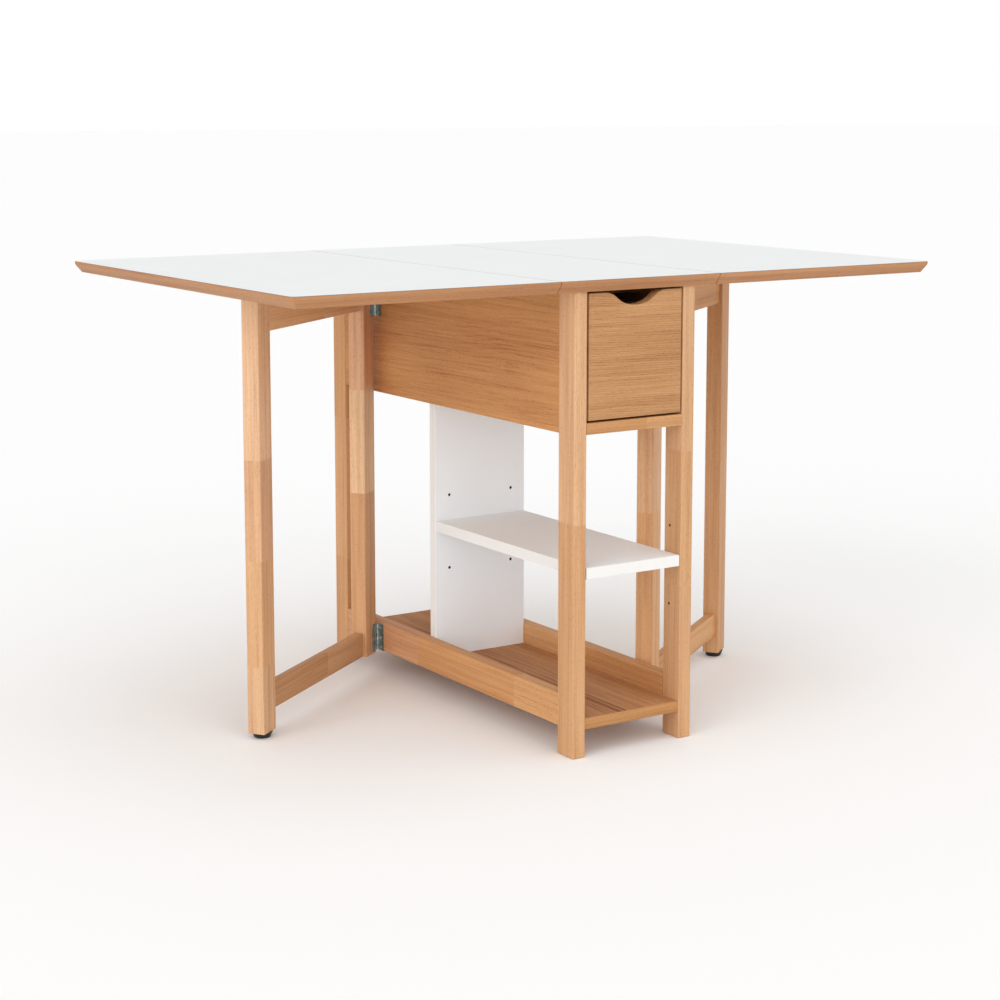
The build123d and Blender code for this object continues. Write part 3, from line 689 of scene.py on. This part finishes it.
def screws(node, body, seed):
    """Screws in the places of a CAD node's, all in one piece."""
    heads, facings, lengths = zip(*screw_places(node))
    piece = mesh_piece("detailed_" + node, [tuple(head) for head in heads], [])
    facing = piece.data.attributes.new("facing", "FLOAT_VECTOR", "POINT")
    facing.data.foreach_set("vector", np.array(facings, dtype=np.float32).ravel())
    length = piece.data.attributes.new("length", "FLOAT", "POINT")
    length.data.foreach_set("value", np.array(lengths, dtype=np.float32))
    modifier = piece.modifiers.new("screws", "NODES")
    modifier.node_group = screw_tree
    values = {"Longest": longest_screw, "Seed": seed, "Material": zinc}
    for socket in screw_tree.interface.items_tree:
        if socket.in_out == "INPUT" and socket.name in values:
            modifier[socket.identifier] = values[socket.name]
    drawn = piece.evaluated_get(bpy.context.evaluated_depsgraph_get())
    piece.data = bpy.data.meshes.new_from_object(drawn)
    piece.modifiers.clear()
    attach(piece, body)
    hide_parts(node)


screw_tree = screw_group()
screw_bodies = {"body_hinge_screws": "frame", "centre_hinge_screws": "frame",
                "runner_screws": "frame", "top_screws": "frame",
                "left_gate_hinge_screws": "left_gate", "right_gate_hinge_screws": "right_gate",
                "left_leaf_screws": "left_leaf", "right_leaf_screws": "right_leaf"}
for seed, (node, body) in enumerate(screw_bodies.items()):
    screws(node, body, seed)


# ---- Top ----
# Three boards lipped with solid wood and bevelled underneath, each under a sheet of white
# laminate. The two leaves are hinged to the fixed centre board.

edge_wood = "#c08c60"
lip_width = 20
lip_length = 2000
laminate_peel = 0.7
half_depth = span("centre_top", "Y") / 2


def lipped_board(tree, outer):
    """Solid lips mitred round the ends and the outer side, raw board within them.

    outer is the X of the board's free side in mm, or None for a board with none.
    """
    space = in_millimetres(tree, (0, 0, 0), along_table)
    place = add(tree, "ShaderNodeSeparateXYZ", {0: space})
    from_end = add(tree, "ShaderNodeMath", {0: place.outputs["Y"]}, operation="ABSOLUTE")
    from_end = add(tree, "ShaderNodeMath", {0: half_depth, 1: from_end.outputs[0]},
                   operation="SUBTRACT").outputs[0]
    lips = wood(tree, space, lip_length, [(0, edge_wood)], gloss=0.05)
    nearest = from_end
    if outer is not None:
        side = add(tree, "ShaderNodeMath", {0: place.outputs["X"], 1: outer}, operation="SUBTRACT")
        side = add(tree, "ShaderNodeMath", {0: side.outputs[0]}, operation="ABSOLUTE").outputs[0]
        along = wood(tree, in_millimetres(tree, (0, 0, 0), across_table), lip_length,
                     [(0, edge_wood)], gloss=0.05)
        mitre = add(tree, "ShaderNodeMath", {0: side, 1: from_end},
                    operation="LESS_THAN").outputs[0]
        lips = add(tree, "ShaderNodeMixShader", {0: mitre, 1: lips, 2: along}).outputs[0]
        nearest = add(tree, "ShaderNodeMath", {0: side, 1: from_end},
                      operation="MINIMUM").outputs[0]
    core = faced_board(tree, "#cdb28f", 0.7, 1.4, 0.3)
    deep = add(tree, "ShaderNodeMath", {0: nearest, 1: lip_width},
               operation="GREATER_THAN").outputs[0]
    return add(tree, "ShaderNodeMixShader", {0: deep, 1: lips, 2: core}).outputs[0]


free_sides = {"left_leaf": 1000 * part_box("left_leaf")[0].x, "centre_top": None,
              "right_leaf": 1000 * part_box("right_leaf")[1].x}
for node, outer in free_sides.items():
    dress(node, finish("lipped_board_" + node, lambda tree: lipped_board(tree, outer)))


def laminate_sheet(tree):
    """A white face over a brown paper core, which shows as a fine line at the cut edges."""
    sheet = faced_board(tree, "#f7f9f9", 0.38, laminate_peel, 0.1)
    core = faced_board(tree, "#7d6f62", 0.7, laminate_peel, 0.1)
    return faces_and_edges(tree, (0, 0, 1), sheet, core)


laminate = finish("white_laminate", laminate_sheet)
for node in ("left_leaf_laminate", "centre_top_laminate", "right_leaf_laminate"):
    dress(node, laminate)
